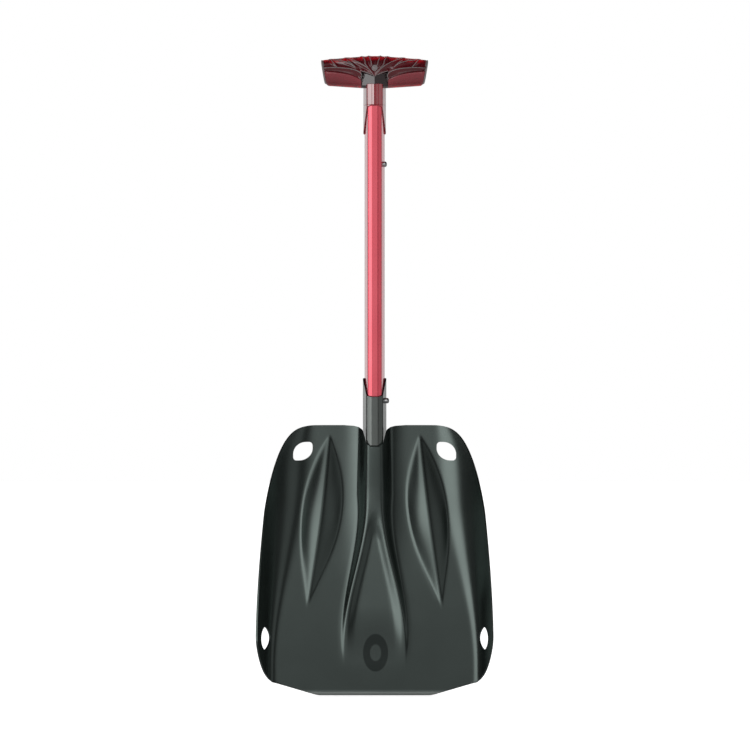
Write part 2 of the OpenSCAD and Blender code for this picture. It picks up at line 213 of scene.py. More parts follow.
BLADE_ALLOY = anodised("blade_alloy", (0.122, 0.147, 0.138), (0.135, 0.163, 0.153), 0.25)
SOCKET_ALLOY = anodised("socket_alloy", (0.215, 0.233, 0.222), (0.24, 0.26, 0.247), 0.22, grain=DRAWN)
RED_ALLOY = anodised("red_alloy", (0.92, 0.09, 0.135), (0.97, 0.11, 0.155), 0.14, 0.7, DRAWN,
                     coat=(1.0, 0.12, 1.75))
SHAFT_ALLOY = anodised("shaft_alloy", (0.55, 0.56, 0.55), (0.62, 0.63, 0.62), 0.28, grain=DRAWN)
RIVET_ALLOY = anodised("rivet_alloy", (0.26, 0.29, 0.28), (0.30, 0.33, 0.32), 0.32)
BUTTON_STEEL = anodised("button_steel", (0.66, 0.66, 0.67), (0.74, 0.74, 0.75), 0.16)
SPRING_STEEL = anodised("spring_steel", (0.40, 0.41, 0.44), (0.50, 0.51, 0.54), 0.25)
BLACK_PLASTIC = moulded("black_plastic", (0.012, 0.012, 0.012), (0.02, 0.02, 0.02), 0.45)
CORE_PLASTIC = moulded("grip_core_plastic", (0.21, 0.005, 0.012), (0.26, 0.008, 0.018), 0.14,
                       coat=(1.0, 0.05, 3.0))
PANEL_PLASTIC = moulded("grip_panel_plastic", (0.05, 0.002, 0.004), (0.085, 0.003, 0.007), 0.14,
                        coat=(0.6, 0.05, 2.1))
TRIM_PLASTIC = moulded("grip_trim_plastic", (0.13, 0.11, 0.11), (0.18, 0.155, 0.155), 0.3)


def lay_over(material, mask, colour):
    """Mixes a colour over a material's base colour where a mask of the object's X and Z is 1."""
    nodes, links = material.node_tree.nodes, material.node_tree.links
    base = nodes["Principled BSDF"].inputs["Base Color"]
    coords = nodes.new("ShaderNodeTexCoord")
    split = nodes.new("ShaderNodeSeparateXYZ")
    links.new(coords.outputs["Object"], split.inputs[0])
    share = mask(nodes, links, split.outputs["X"], split.outputs["Z"])
    links.new(mix_colours(nodes, links, share, base.links[0].from_socket, colour), base)


def edge_painted_glow(nodes, links, x, z):
    """Painted glow of light showing through the plastic: 1 along the top and bottom edges of the grip, in
    patches.
    """
    do = partial(shader_math, nodes, links)
    share = do("DIVIDE", do("ABSOLUTE", x), EDGE_SPAN * MM)
    top = do("SUBTRACT", GRIP_TOP * MM, do("MULTIPLY", TOP_DROP * MM, do("POWER", share, TOP_CURVE)))
    low = do("ADD", (GRIP_TOP - GRIP_H) * MM, do("MULTIPLY", LOW_RISE * MM, do("POWER", share, LOW_CURVE)))
    near_top = do("DIVIDE", do("SUBTRACT", z, do("SUBTRACT", top, 6.5 * MM)), 4.5 * MM, clamp=True)
    near_low = do("DIVIDE", do("SUBTRACT", do("ADD", low, 2.2 * MM), z), 1.6 * MM, clamp=True)
    patches = do("MULTIPLY", do("SUBTRACT", object_noise(nodes, links, 140, 1), 0.30), 3.5, clamp=True)
    return do("MULTIPLY", do("MAXIMUM", near_top, near_low), patches)


def band_painted_highlight(nodes, links, x, z):
    """Painted highlight: 1 just under the top edge of the smooth band along the lower half of the grip, fading
    downwards.
    """
    do = partial(shader_math, nodes, links)
    line = do("ADD", 14.2 * MM, do("DIVIDE", 0.00019, do("ADD", do("ABSOLUTE", x), 0.5 * MM)))
    below = do("SUBTRACT", do("SUBTRACT", GRIP_TOP * MM, z), line)
    starts = do("MULTIPLY", below, 1200, clamp=True)
    fades = do("SUBTRACT", 1.1, do("DIVIDE", below, 15 * MM), clamp=True)
    return do("MULTIPLY", starts, fades)


def facet_painted_shade(nodes, links, x, z):
    """Painted shade: 1 on the two flat facets at the middle of the grip, down to its lower edge, which are
    darkened to near black.
    """
    do = partial(shader_math, nodes, links)
    across = do("ABSOLUTE", x)
    line = do("ADD", (GRIP_TOP - 22.5) * MM, do("MULTIPLY", across, 0.36))
    below = do("MULTIPLY", do("SUBTRACT", line, z), 1600, clamp=True)
    within = do("MULTIPLY", do("SUBTRACT", 14.6 * MM, across), 1600, clamp=True)
    return do("MULTIPLY", below, within)


def ring_mark(nodes, links, x, z):
    """A plain upright oval ring printed on the scoop face."""
    do = partial(shader_math, nodes, links)
    across = do("DIVIDE", do("SUBTRACT", x, 1 * MM), 13.5 * MM)
    up = do("DIVIDE", do("SUBTRACT", z, 44.5 * MM), 20 * MM)
    r = do("SQRT", do("ADD", do("MULTIPLY", across, across), do("MULTIPLY", up, up)))
    edge = do("MULTIPLY", do("SUBTRACT", 1.0, r), 30, clamp=True)
    hole = do("MULTIPLY", do("SUBTRACT", r, 0.42), 30, clamp=True)
    facing = nodes.new("ShaderNodeSeparateXYZ")
    links.new(nodes.new("ShaderNodeTexCoord").outputs["Normal"], facing.inputs[0])
    front = do("LESS_THAN", facing.outputs["Y"], 0)
    return do("MULTIPLY", do("MULTIPLY", edge, hole), do("MULTIPLY", front, 0.8))


def ground_edge(nodes, links, x, z):
    """The ground strip along the cutting edge, barer than the rest."""
    do = partial(shader_math, nodes, links)
    return do("MULTIPLY", do("MULTIPLY", do("SUBTRACT", 4.2 * MM, z), 1500, clamp=True), 0.8)


# painted highlight: lighter red on the palm band, fading down from its top edge
lay_over(PANEL_PLASTIC, band_painted_highlight, (0.18, 0.022, 0.030))
# painted glow: bright red along the grip's top and bottom edges, where light shows through
lay_over(PANEL_PLASTIC, edge_painted_glow, (0.50, 0.003, 0.010))
# painted shade: the two facets under the boss darkened to near black
lay_over(PANEL_PLASTIC, facet_painted_shade, (0.012, 0.004, 0.005))
lay_over(BLADE_ALLOY, ring_mark, (0.045, 0.055, 0.052))
lay_over(BLADE_ALLOY, ground_edge, (0.42, 0.46, 0.44))

# ---- mesh helpers ----


def add_mesh(name, points, faces, material, smooth=35):
    """A mesh object from points in millimetres; edges sharper than smooth degrees stay crisp."""
    mesh = bpy.data.meshes.new(name)
    mesh.from_pydata([tuple(p) for p in np.asarray(points, float) * MM], [], [tuple(f) for f in faces])
    mesh.validate()
    mesh.materials.append(material)
    piece = bpy.data.objects.new(name, mesh)
    bpy.context.scene.collection.objects.link(piece)
    shade(mesh, smooth)
    return piece


def outward_faces(points, faces):
    """Turns every face round if the closed skin is inside out."""
    volume = 0.0
    for f in faces:
        for i in range(1, len(f) - 1):
            volume += np.dot(points[f[0]], np.cross(points[f[i]], points[f[i + 1]]))
    return faces if volume > 0 else [tuple(reversed(f)) for f in faces]


def add_closed(name, points, faces, material, smooth=35):
    return add_mesh(name, points, outward_faces(points, faces), material, smooth)


def shade(mesh, smooth):
    mesh.shade_smooth()
    mesh.set_sharp_from_angle(angle=math.radians(smooth))
    mesh.update()


def join_piece(piece, body, slot, *nodes):
    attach(piece, body)
    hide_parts(*nodes)
    return piece


def loft(rings, loop=False):
    """Points and faces of a closed skin through rings of equal length, capped unless it loops."""
    n, m = len(rings), len(rings[0])
    points = np.concatenate([np.asarray(r, float) for r in rings])
    faces = []
    for j in range(n if loop else n - 1):
        a, b = j * m, (j + 1) % n * m
        for i in range(m):
            k = (i + 1) % m
            faces.append((a + i, a + k, b + k, b + i))
    if not loop:
        faces.append(tuple(reversed(range(m))))
        faces.append(tuple(range((n - 1) * m, n * m)))
    return points, faces


def apply_cut(piece, cutters, smooth=35):
    """Subtracts closed cutters from a piece and leaves a plain mesh."""
    for cutter in cutters:
        mod = piece.modifiers.new("cut", "BOOLEAN")
        mod.operation = "DIFFERENCE"
        mod.solver = "EXACT"
        mod.object = cutter
    graph = bpy.context.evaluated_depsgraph_get()
    old = piece.data
    piece.data = bpy.data.meshes.new_from_object(piece.evaluated_get(graph))
    piece.modifiers.clear()
    bpy.data.meshes.remove(old)
    for cutter in cutters:
        bpy.data.objects.remove(cutter)
    while len(piece.data.materials) > 1:
        piece.data.materials.pop()
    shade(piece.data, smooth)
    return piece


def grown(outline, by):
    """An outline that runs anticlockwise, offset outwards."""
    p = np.asarray(outline, float)
    back, on = p - np.roll(p, 1, 0), np.roll(p, -1, 0) - p
    m = np.stack([back[:, 1], -back[:, 0]], 1) / np.linalg.norm(back, axis=1)[:, None]
    k = np.stack([on[:, 1], -on[:, 0]], 1) / np.linalg.norm(on, axis=1)[:, None]
    return p + by * (m + k) / (1 + (m * k).sum(1))[:, None]


def rounded(outline, radii, steps=6):
    """An outline with each corner turned into an arc of its own radius, or all of one."""
    p = np.asarray(outline, float)
    radii = np.broadcast_to(radii, len(p))
    out = []
    for i in range(len(p)):
        here, radius = p[i], radii[i]
        back, on = p[i - 1] - here, p[(i + 1) % len(p)] - here
        back, on = back / np.linalg.norm(back), on / np.linalg.norm(on)
        half = math.acos(np.clip(back @ on, -1, 1)) / 2
        towards = (back + on) / np.linalg.norm(back + on)
        middle = here + towards * radius / math.sin(half)
        a = here + back * radius / math.tan(half) - middle
        b = here + on * radius / math.tan(half) - middle
        sweep = math.pi - 2 * half
        for k in range(steps + 1):
            t = k / steps
            along = math.sin(sweep * (1 - t)) * a + math.sin(sweep * t) * b
            out.append(middle + along / math.sin(sweep))
    return np.array(out)


def prism(outline, axis_points):
    """Rings of an outline in X and Z swept along Y, for cutters."""
    return [[(x, y, z) for x, z in outline] for y in axis_points]


# ---- blade ----
EDGE_HALF_W = 58.5                          # half width of the cutting edge
BEVEL_H, BEVEL_D = 5.0, 1.2
CORNER_Z, CORNER_HALF_W = 14.0, 107.5       # where the edge's slant meets the rounded bottom corner
LOW_TUCK, CORNER_TUCK = 11, 4.9             # how far the outline draws in below its widest height,
SIDE_TUCK, SHOULDER_TUCK = 7.7, 61          # up to the shoulder, and from there to the top
WIDEST_Z, SHOULDER_Z, SPLIT_Z, FIN_END_Z = 62.0, 190.0, 211.0, 35.0
PAN_LEAN, PAN_HOLLOW = 0.27, 0.00029
CHANNEL_HALF_W, FIN_SPREAD = 7.5, 24.5
SWELL_H, CROWN_H = 5, 0.45
RIB_TOP_Z, RIB_LOW_Z = 275.0, 90.0
RIB_TOP_X, RIB_SPREAD, RIB_BOW = 47.8, 24, 1.8
RIB_IN_W, RIB_OUT_W = 21.5, 21
WALL_FOOT, WALL_FOOT_IN = 104, 42
RIB_H, WALL_H, RECESS_D = 11.0, 28.0, 3.2
NOTCH_Z, NOTCH_R, NOTCH_MID = 263.5, 4.7, 4.7
SOCKET_TO_SHEET = 0.7
CHANNEL_Y = SHAFT_Y - HALF_DEPTH - SOCKET_OUT - SOCKET_TO_SHEET - SHEET_T


def smooth_step(t):
    c = np.clip(t, 0, 1)
    return c * c * (3 - 2 * c)


def edge_x(z):
    """Half width of the blade's outline at a height."""
    z = np.asarray(z, float)
    d = np.clip((WIDEST_Z - z) / (WIDEST_Z - CORNER_Z), 0, 1)
    low = EDGE_HALF_W + (CORNER_HALF_W - EDGE_HALF_W) * z / CORNER_Z
    turn = BLADE_HALF_W - LOW_TUCK * d**1.7 - CORNER_TUCK * d**8
    up = np.clip((z - WIDEST_Z) / (SHOULDER_Z - WIDEST_Z), 0, 1)
    top = np.clip((z - SHOULDER_Z) / (BLADE_H - SHOULDER_Z), 0, 1)
    side = BLADE_HALF_W - SIDE_TUCK * up**1.65 - SHOULDER_TUCK * (1 - (1 - top**1.15) ** 0.28)
    return np.where(z < CORNER_Z, low, np.where(z < WIDEST_Z, turn, side))


def pan_y(z):
    """Depth of the plain pan, which leans forward from the shaft and is slightly hollow lengthwise."""
    return z * (PAN_LEAN - PAN_HOLLOW * z)


def crest_h(z):
    """Forward height of the channel over the socket and, below it, of the fins."""
    fin = np.maximum(0, z - FIN_END_Z) / (SPLIT_Z - FIN_END_Z)
    return np.where(z > SPLIT_Z, pan_y(z) - CHANNEL_Y, (pan_y(SPLIT_Z) - CHANNEL_Y) * fin**1.2)


def crest_x(z):
    """Distance from the middle of the channel's edge, which runs on as the fin's crest."""
    return CHANNEL_HALF_W + FIN_SPREAD * np.sin(math.pi / 2 * np.clip((200 - z) / 152, 0, 1)) ** 1.8


def foot_x(z):
    """Distance from the middle of the foot of the channel's and the fin's outer flank."""
    fin = crest_x(z) + 3 + 9.4 * (np.maximum(0, z - 39) / 172) ** 0.9
    above = 17 + (BLADE_H - z) * 0.04
    return np.where(z > SPLIT_Z, above, fin)


def rib_t(z):
    """0 at the rib's top end, 1 at its low end."""
    return np.clip((RIB_TOP_Z - z) / (RIB_TOP_Z - RIB_LOW_Z), 0, 1)


def rib_x(z):
    return RIB_TOP_X + RIB_SPREAD * rib_t(z) - RIB_BOW * np.sin(math.pi * rib_t(z))


def rib_in(z):
    return RIB_IN_W * np.abs(np.sin(math.pi * rib_t(z) ** 0.85))


def rib_out(z):
    return RIB_OUT_W * np.abs(np.sin(math.pi * rib_t(z) ** 0.78))


def rib_bump(x, z):
    """Forward height of a rib: a rounded roof that fades out softly towards both ends."""
    side = np.where(x < rib_x(z), rib_in(z), rib_out(z))
    u = np.where(side > 0.5, np.minimum(1, np.abs(x - rib_x(z)) / np.maximum(side, 0.5)), 1)
    soft = 1 - np.abs(np.sin(math.pi * rib_t(z))) ** 1.6
    profile = (1 - soft) * (1 - u) * (1 + 0.55 * u) + soft * (0.5 + 0.5 * np.cos(math.pi * u))
    return RIB_H * np.abs(np.sin(math.pi * rib_t(z) ** 0.81)) ** 1.5 * profile


def wall_bump(x, z):
    """Forward height of the side walls, which curl up towards the outline."""
    start = WALL_FOOT - WALL_FOOT_IN * smooth_step((z - 30) / 230)
    over = np.maximum(0, z - SHOULDER_Z)
    end = np.where(z < WIDEST_Z, BLADE_HALF_W,
                   edge_x(np.minimum(z, SHOULDER_Z)) - 0.099 * over - 0.00175 * over**2)
    fade = 1 - 0.5 * smooth_step((z - SHOULDER_Z) / (BLADE_H - SHOULDER_Z))
    return WALL_H * fade * (np.maximum(0, x - start) / (end - start)) ** 2.3


def centre_bump(x, z):
    """The channel over the socket, the two fins it splits into and the swell beside them."""
    c, f = crest_x(z), foot_x(z)
    h = sum(crest_h(z + d) for d in (-8, -4, 0, 4, 8)) / 5
    s = np.minimum(h, SWELL_H * smooth_step((z - 105) / 105))
    valley = 36 + 0.07 * np.maximum(0, 205 - z)
    recess = RECESS_D * smooth_step((197 - z) / 35) * smooth_step((z - FIN_END_Z) / 60)
    inside = h - recess * smooth_step((c - x) / np.minimum(c, 9))
    inside = inside + CROWN_H * (1 - np.clip(x / c, 0, 1) ** 2) * smooth_step((z - 188) / 25)
    flank = (h - s) * np.where(x < f, 0.5 + 0.5 * np.cos(math.pi * np.clip((x - c) / (f - c), 0, 1)), 0)
    spread = s * (1 - np.clip((x - c) / (valley - c), 0, 1)) ** 2
    return np.where(x <= c, inside, flank + spread)


def sharp_face_y(x, z):
    """Depth of the scoop face before its creases are rounded."""
    x, z = np.abs(x), np.clip(z, 0, BLADE_H)
    return pan_y(z) - centre_bump(x, z) - rib_bump(x, z) - wall_bump(x, z)


PRESS_R = 1.8      # the press rounds every crease by about this much
# where the sharp face is sampled round a point, in press radii, and the weight of each sample
KERNEL = [(0, 0, 4)] + [(math.cos(a) * r, math.sin(a) * r, w)
                        for r, w in ((0.55, 2), (1.0, 1)) for a in np.arange(0, 2 * math.pi, math.pi / 4)]
KERNEL_SUM = sum(w for _, _, w in KERNEL)


def face_y(x, z):
    """Depth of the scoop face after pressing."""
    return sum(w * sharp_face_y(x + PRESS_R * i, z + PRESS_R * j) for i, j, w in KERNEL) / KERNEL_SUM


def back_normal(x, z):
    """Unit normal of the scoop face, towards the back, from points a small step apart."""
    e = 0.4
    n = np.stack([face_y(x - e, z) - face_y(x + e, z), np.full_like(x, 2 * e),
                  face_y(x, z - e) - face_y(x, z + e)], -1)
    return n / np.linalg.norm(n, axis=-1, keepdims=True)


def blade_columns(z):
    """Distances from the middle that follow the relief, from the middle to the side edge."""
    k = edge_x(z) / BLADE_HALF_W if z < WIDEST_Z else 1.0
    lines = [0, k * crest_x(z), k * foot_x(z), k * (rib_x(z) - max(4, rib_in(z))), k * rib_x(z),
             k * (rib_x(z) + max(4, rib_out(z))), float(edge_x(z))]
    steps = [8, 9, 7, 12, 12, 26]
    out = [0.0]
    for a, b, n in zip(lines, lines[1:], steps):
        out += [a + (b - a) * (i + 1) / n for i in range(n)]
    return np.array(out)


def make_blade():
    """Points and faces of the sheet: front and back skins over one grid, joined along the rim."""
    rows = np.concatenate([[0, 1.2, 2.5, 3.8, BEVEL_H, 6.2, 8, 10, 12.4, CORNER_Z],
                           np.arange(16.4, WIDEST_Z, 1.6), np.linspace(WIDEST_Z, BLADE_H - 6, 146),
                           BLADE_H - np.array([5, 4, 3.2, 2.4, 1.7, 1.1, 0.6, 0.3, 0.1, 0])])
    half = np.array([blade_columns(z) for z in rows])
    xs = np.concatenate([-half[:, :0:-1], half], 1)
    zs = np.repeat(rows[:, None], xs.shape[1], 1)
    depth = face_y(xs, zs)
    normal = back_normal(xs, zs)
    normal[0, :, 2] = 0
    ground = BEVEL_D * np.maximum(0, 1 - zs / BEVEL_H)
    front = np.stack([xs, depth + ground, zs], -1)
    back = np.stack([xs, depth, zs], -1) + SHEET_T * normal
    nz, nx = xs.shape
    m = nz * nx
    faces = []
    for j in range(nz - 1):
        for i in range(nx - 1):
            a = j * nx + i
            faces.append((a, a + 1, a + nx + 1, a + nx))
            faces.append((m + a, m + a + nx, m + a + nx + 1, m + a + 1))
    border = [*range(nx), *(j * nx + nx - 1 for j in range(1, nz)),
              *((nz - 1) * nx + i for i in range(nx - 2, -1, -1)), *(j * nx for j in range(nz - 2, 0, -1))]
    for a, b in zip(border, border[1:] + border[:1]):
        faces.append((a, m + a, m + b, b))
    return np.concatenate([front.reshape(-1, 3), back.reshape(-1, 3)]), faces


def notch_outline():
    """The notch that the socket comes out of, right half from the top down and back up the left."""
    arc = [(NOTCH_MID + NOTCH_R * math.cos(a), NOTCH_Z + NOTCH_R - NOTCH_R * math.sin(a))
           for a in np.linspace(0, math.pi / 2, 13)]
    shoulder = [(34, BLADE_H + 3), (32, BLADE_H - 0.1), (22, BLADE_H - 0.8), (16.8, BLADE_H - 2.1),
                (13.2, BLADE_H - 4.6), (12.1, BLADE_H - 6.5)]
    right = shoulder + arc
    return right + [(-x, z) for x, z in reversed(right)]


def leaf(w, h, tight, wide):
    """A box with two diagonal corners of a small radius and two that take up a share of its sides."""
    out = []
    for sx, sz, rx, rz, turn in ((-1, -1, tight, tight, 180), (1, -1, wide * w, wide * h, 270),
                                 (1, 1, tight, tight, 0), (-1, 1, wide * w, wide * h, 90)):
        for a in np.radians(np.arange(0, 91, 7.5) + turn):
            out.append((sx * (w / 2 - rx) + rx * math.cos(a), sz * (h / 2 - rz) + rz * math.sin(a)))
    return out


def lens(w, h):
    """An oval with blunt points at its top and bottom, leaning a little."""
    lean, point = 0.14, 0.35
    return [(w / 2 * math.cos(a) * abs(math.cos(a)) ** point + lean * h / 2 * math.sin(a), h / 2 * math.sin(a))
            for a in np.radians(np.arange(0, 360, 6))]


# distance from the middle, height and outline of the left side's two holes
HOLES = [(76.4, 257.2, leaf(22, 19.6, 3.5, 0.68)), (115.6, 60, lens(17.5, 24.4))]


def hole_cutter(side, x, z, outline):
    """A bar of the hole's outline, square to the sheet; the outline is the left hole's."""
    centre = Vector((side * x, float(sharp_face_y(x, z)), z))
    n = back_normal(np.array([side * x]), np.array([float(z)]))[0]
    turn = math.atan2(-n[0], n[1])
    outline = [(-side * px, pz) for px, pz in outline]
    points, faces = loft(prism(outline, (-6, 6)))
    points = np.array([centre + Matrix.Rotation(turn, 3, "Z") @ Vector(p) for p in points])
    return add_mesh("cutter", points, outward_faces(points, faces), BLADE_ALLOY)


blade = add_closed("blade_pressing", *make_blade(), BLADE_ALLOY, 50)
notch = add_closed("cutter", *loft(prism(notch_outline(), (0, 80))), BLADE_ALLOY)
# the notch's lower edge is broken by a bevel, steep enough to read as a line under the socket
WEDGE_FRONT, WEDGE_BACK, WEDGE_HALF_W = CHANNEL_Y - 1.6, CHANNEL_Y + 0.9, 5.2
wedge = [(WEDGE_FRONT, NOTCH_Z - 2.3), (WEDGE_BACK, NOTCH_Z + 0.1), (WEDGE_BACK, NOTCH_Z + 1),
         (WEDGE_FRONT, NOTCH_Z + 1)]
wedge_rings = [[(x, y, z) for y, z in wedge] for x in (-WEDGE_HALF_W, WEDGE_HALF_W)]
bevel = add_closed("cutter", *loft(wedge_rings), BLADE_ALLOY)
apply_cut(blade, [notch, bevel] + [hole_cutter(s, *h) for s in (-1, 1) for h in HOLES], 50)
join_piece(blade, "blade_body", "blade_alloy", "blade")

# ---- tubes ----
FLAT, CHAMFER, CHAMFER_D = 3.4, 7.4, 1.7
BACK_HALF_W = 11.0
TUBE = np.array([[-FLAT, -HALF_DEPTH], [FLAT, -HALF_DEPTH], [CHAMFER, CHAMFER_D - HALF_DEPTH],
                 [BACK_HALF_W, HALF_DEPTH], [-BACK_HALF_W, HALF_DEPTH], [-CHAMFER, CHAMFER_D - HALF_DEPTH]])
SIDE_LEAN = math.atan((BACK_HALF_W - CHAMFER) / (2 * HALF_DEPTH - CHAMFER_D))
SIDE_FACE = (BACK_HALF_W - math.tan(SIDE_LEAN) * HALF_DEPTH) * math.cos(SIDE_LEAN)

FRONT_R = 3.0      # extra radius on the two shallow edges of the front
LOWER_R, UPPER_R, SOCKET_R = 1.6, 0.6, 2.0
BUTTON_HOLE_R = 3.0


def section(by, radius, z):
    """The tube's outline grown by a distance, as a ring at a height."""
    flat = rounded(grown(TUBE, by), [radius + FRONT_R] * 2 + [radius] * 4)
    return np.column_stack([flat[:, 0], flat[:, 1] + SHAFT_Y, np.full(len(flat), z)])


def tube_piece(name, outer, inner, radius, z0, z1, material, edge=0.25):
    """A tube with softened ends."""
    r_in = max(0.5, radius - outer + inner)
    rings = [section(outer - edge, radius, z0), section(outer, radius, z0 + edge)]
    rings += [section(outer, radius, z) for z in np.linspace(z0 + edge, z1 - edge, 9)[1:]]
    rings += [section(outer - edge, radius, z1), section(inner + edge, r_in, z1),
              section(inner, r_in, z1 - edge), section(inner, r_in, z0 + edge), section(inner + edge, r_in, z0)]
    return add_closed(name, *loft(rings, loop=True), material, 30)


def bar_piece(name, by, radius, z0, z1, material, edge=0.4):
    """A solid bar of the tube's outline with softened ends."""
    rings = [section(by - edge, radius, z0), section(by, radius, z0 + edge),
             section(by, radius, z1 - edge), section(by - edge, radius, z1)]
    return add_closed(name, *loft(rings), material, 30)


def at_lock(z):
    """Frame on the shaft's axis with X square to the right side face, in millimetres."""
    return Matrix.Translation((0, SHAFT_Y, z)) @ Matrix.Rotation(-SIDE_LEAN, 4, "Z")


def lathe(profile, place, steps=40):
    """A closed skin turned about X from (distance along X, radius) pairs; ends on the axis."""
    rings = []
    for x, r in profile:
        ring = [place @ Vector((x, r * math.cos(a), r * math.sin(a)))
                for a in np.linspace(0, 2 * math.pi, steps, endpoint=False)]
        rings.append([tuple(p) for p in ring])
    return loft(rings)


def side_hole(z):
    """A cutter for a button's hole through the right side face."""
    profile = [(2, BUTTON_HOLE_R), (22, BUTTON_HOLE_R)]
    return add_closed("cutter", *lathe(profile, at_lock(z)), RED_ALLOY)


def lock_z(node):
    low, high = box_mm(node)
    return (low[2] + high[2]) / 2


SOCKET_LOCK_Z = lock_z("socket_lock_button")
SHAFT_LOCK_Z = lock_z("collapsed_lock_button")
EXTENDED_LOCK_Z = lock_z("extended_lock_button")

lower = tube_piece("red_shaft", 0, -LOWER_WALL, LOWER_R, lower_low[2], lower_high[2], RED_ALLOY)
apply_cut(lower, [side_hole(SOCKET_LOCK_Z), side_hole(SHAFT_LOCK_Z)], 30)
join_piece(lower, "lower_shaft_body", "red_alloy", "lower_shaft")

upper = tube_piece("inner_shaft", UPPER_OUT, UPPER_IN, UPPER_R, upper_low[2], upper_high[2], SHAFT_ALLOY)
apply_cut(upper, [side_hole(SHAFT_LOCK_Z), side_hole(EXTENDED_LOCK_Z)], 30)
join_piece(upper, "upper_shaft_body", "shaft_alloy", "upper_shaft")


def slant_cutter(by, z, rise, upwards=True):
    """A block above, or below, a slanted plane that starts at the front of a tube grown by a distance."""
    depth = 2 * (HALF_DEPTH + by)
    slope = rise / depth
    tall = 90 if upwards else -90
    front_y = SHAFT_Y - depth / 2
    rings = []
    for x in (-40, 40):
        base = [(x, front_y + along, z + slope * along) for along in (-20, depth + 20)]
        rings.append(base + [(px, py, pz + tall) for px, py, pz in reversed(base)])
    return add_closed("cutter", *loft(rings), SOCKET_ALLOY)


socket = tube_piece("socket_sleeve", SOCKET_OUT, SLIDE_GAP, SOCKET_R, socket_low[2], socket_high[2],
                    SOCKET_ALLOY, 0.3)
socket_top = slant_cutter(SOCKET_OUT, SOCKET_NOTCH_Z, socket_high[2] - SOCKET_NOTCH_Z + 0.5)
apply_cut(socket, [socket_top, side_hole(SOCKET_LOCK_Z)], 30)
join_piece(socket, "blade_body", "socket_alloy", "blade_socket")

# ---- snap buttons ----
BUTTON_R, DOME_H, FLANGE_R = 2.9, 1.8, 3.7
FLANGE_TO_WALL = 0.9
HIDDEN_SINK = 6.9      # how much deeper the extended button sits while the shaft is in
SOCKET_ROOT = SIDE_FACE - LOWER_WALL - FLANGE_TO_WALL
UPPER_ROOT = SIDE_FACE + UPPER_IN - FLANGE_TO_WALL
LONG_ROOT = UPPER_ROOT - HIDDEN_SINK


def button_piece(name, root, tip, z, body, node):
    """Flange, shank and dome, turned, with softened edges."""
    profile = [(root, 0.01), (root, FLANGE_R - 0.2), (root + 0.2, FLANGE_R), (root + 0.6, FLANGE_R),
               (root + 0.8, FLANGE_R - 0.2), (root + 0.8, BUTTON_R)]
    for a in np.linspace(0, math.pi / 2, 14):
        profile.append((tip - DOME_H + DOME_H * math.sin(a), max(0.01, BUTTON_R * math.cos(a) ** 0.8)))
    piece = add_closed(name, *lathe(profile, at_lock(z)), BUTTON_STEEL, 40)
    return join_piece(piece, body, "button_steel", node)


button_piece("socket_button", SOCKET_ROOT, 15.6, SOCKET_LOCK_Z, "socket_lock_body", "socket_lock_button")
button_piece("shaft_button", UPPER_ROOT, 13.2, SHAFT_LOCK_Z, "collapsed_lock_body", "collapsed_lock_button")
button_piece("long_button", LONG_ROOT, 13.2 - HIDDEN_SINK, EXTENDED_LOCK_Z, "extended_lock_body",
             "extended_lock_button")

# ---- leaf springs ----
STRIP_T, STRIP_HALF_W = 0.35, 1.7
PAD = 4                # length of each arm's end beyond the button's axis
ARM = 40


def spring_piece(name, z, near, far, fold, node):
    """A V-shaped strip in one fixed shape: its near arm lies under the button, its far arm on the wall."""
    pad, middle = -math.copysign(PAD, fold), (near + far) / 2
    steps = np.linspace(0, 1, 9)
    line = [(near, pad)] + [(near + (middle + 1 - near) * t, fold * t) for t in steps]
    line += [(middle + math.cos(a), fold + math.copysign(math.sin(a), fold))
             for a in np.linspace(0.4, math.pi - 0.4, 5)]
    line += [(middle - 1 + (far - middle + 1) * t, fold * (1 - t)) for t in steps] + [(far, pad)]
    line = np.array(line)
    along = np.gradient(line, axis=0)
    along /= np.linalg.norm(along, axis=1)[:, None]
    inner = line - np.column_stack([along[:, 1], -along[:, 0]]) * math.copysign(STRIP_T, fold)
    place = at_lock(z)
    rings = []
    for (ox, oz), (ix, iz) in zip(line, inner):
        w = STRIP_HALF_W
        corners = [(ox, -w, oz), (ox, w, oz), (ix, w, iz), (ix, -w, iz)]
        rings.append([tuple(place @ Vector(c)) for c in corners])
    piece = add_closed(name, *loft(rings), SPRING_STEEL, 50)
    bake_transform(piece)
    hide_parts(node)
    return piece


SOCKET_FAR = -(SIDE_FACE - LOWER_WALL) + 0.7
UPPER_FAR = -(SIDE_FACE + UPPER_IN) + 0.6
TOUCH = 0.15           # how far the strip's end lies under the button
spring_piece("socket_spring", SOCKET_LOCK_Z, SOCKET_ROOT - TOUCH, SOCKET_FAR, -ARM,
             "socket_lock_spring")
spring_piece("shaft_spring", SHAFT_LOCK_Z, UPPER_ROOT - TOUCH, UPPER_FAR, -ARM,
             "collapsed_lock_spring")
spring_piece("long_spring", EXTENDED_LOCK_Z, LONG_ROOT - TOUCH, UPPER_FAR, ARM,
             "extended_lock_spring")

# ---- grip ----
GRIP_BOTTOM = GRIP_TOP - GRIP_H + 0.2
SHELL_HALF_W = GRIP_HALF_W - 2.0
NECK_TOP = GRIP_TOP - 31.0
GRIP_POWER = 2.35      # squareness of the bar's section
GRIP_DEEP, DEEP_DROP, DEEP_SPAN = 15.4, 2.4, 52.0
FACET_HALF_W, FACET_DEEP, FACET_LEAN = 14.4, 14.7, 0.35     # the two flat facets under the boss
BOSS_DOWN, BOSS_DEEP, BOSS_R = 14.2, 15.2, 3.2

